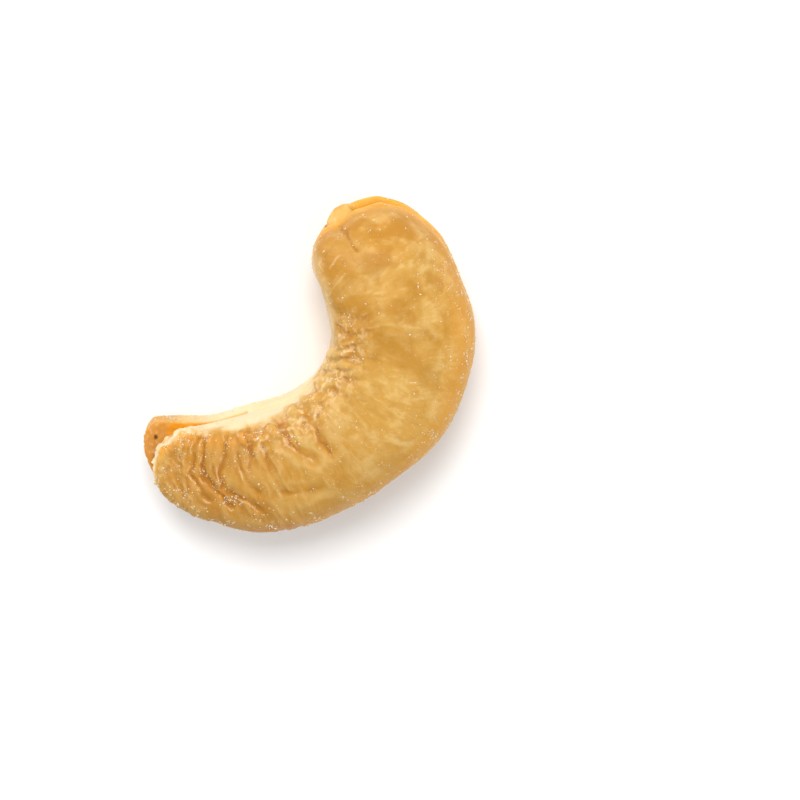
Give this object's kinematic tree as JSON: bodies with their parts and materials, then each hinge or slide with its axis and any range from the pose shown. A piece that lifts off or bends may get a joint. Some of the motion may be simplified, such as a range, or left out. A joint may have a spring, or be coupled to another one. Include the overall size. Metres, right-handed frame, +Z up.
{
  "type": "cashew kernel",
  "caption": "Shelled roasted cashew kernel, a salted kidney-shaped seed lying on its side, its cotyledons parted by a slit and joined by the embryo axis at the head.",
  "frame": {"origin": "middle of the kernel's box, on the surface that it rests on", "axes": "+X from the narrow tip to the thick head, +Y to the hollow side of the bend, +Z up"},
  "size_m": [0.026, 0.0158, 0.0107],
  "materials": {
    "kernel_flesh": "roasted seed flesh, waxy and slightly oily, golden tan with paler mottling and browner edges",
    "embryo_flesh": "roasted seed flesh, paler and smoother than the cotyledons",
    "salt": "fine white salt grains stuck to the surface"
  },
  "bodies": {
    "root": {"cotyledon_upper": "kernel_flesh", "cotyledon_lower": "kernel_flesh", "embryo_axis": "embryo_flesh"}
  },
  "joints": []
}
